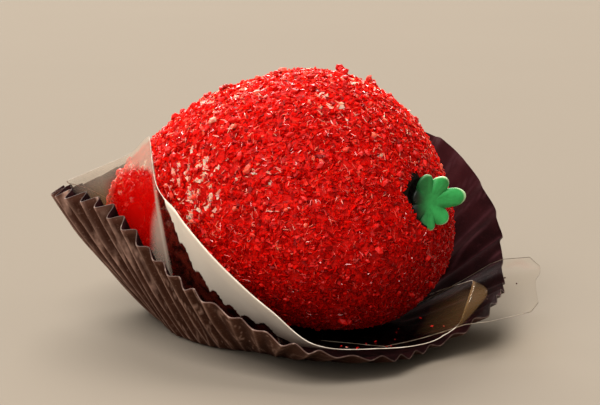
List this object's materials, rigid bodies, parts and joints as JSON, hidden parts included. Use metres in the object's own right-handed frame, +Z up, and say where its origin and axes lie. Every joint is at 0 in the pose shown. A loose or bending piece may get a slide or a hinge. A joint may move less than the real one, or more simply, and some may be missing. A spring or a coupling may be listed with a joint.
{
  "type": "brigadeiro in a paper case",
  "caption": "Strawberry-shaped brigadeiro in red sugar with a green calyx, on clear liners in a pleated brown paper case.",
  "frame": {"origin": "middle of the paper case's flat bottom, on the surface it stands on", "axes": "+Z up, +X to the low open side where the calyx is, +Y to the back where the case's wall stands highest"},
  "size_m": [0.049, 0.0461, 0.0263],
  "materials": {
    "sweet": "fudge rolled in coarse red sugar crystals",
    "calyx": "smooth green gum paste",
    "paper_case": "dark brown greaseproof paper, glossier inside",
    "liner_sheet": "clear glossy film",
    "liner_strip": "clear glossy film"
  },
  "bodies": {
    "root": {"sweet": "sweet", "calyx": "calyx", "paper_case": "paper_case", "liner_sheet": "liner_sheet", "liner_strip": "liner_strip"}
  },
  "joints": []
}
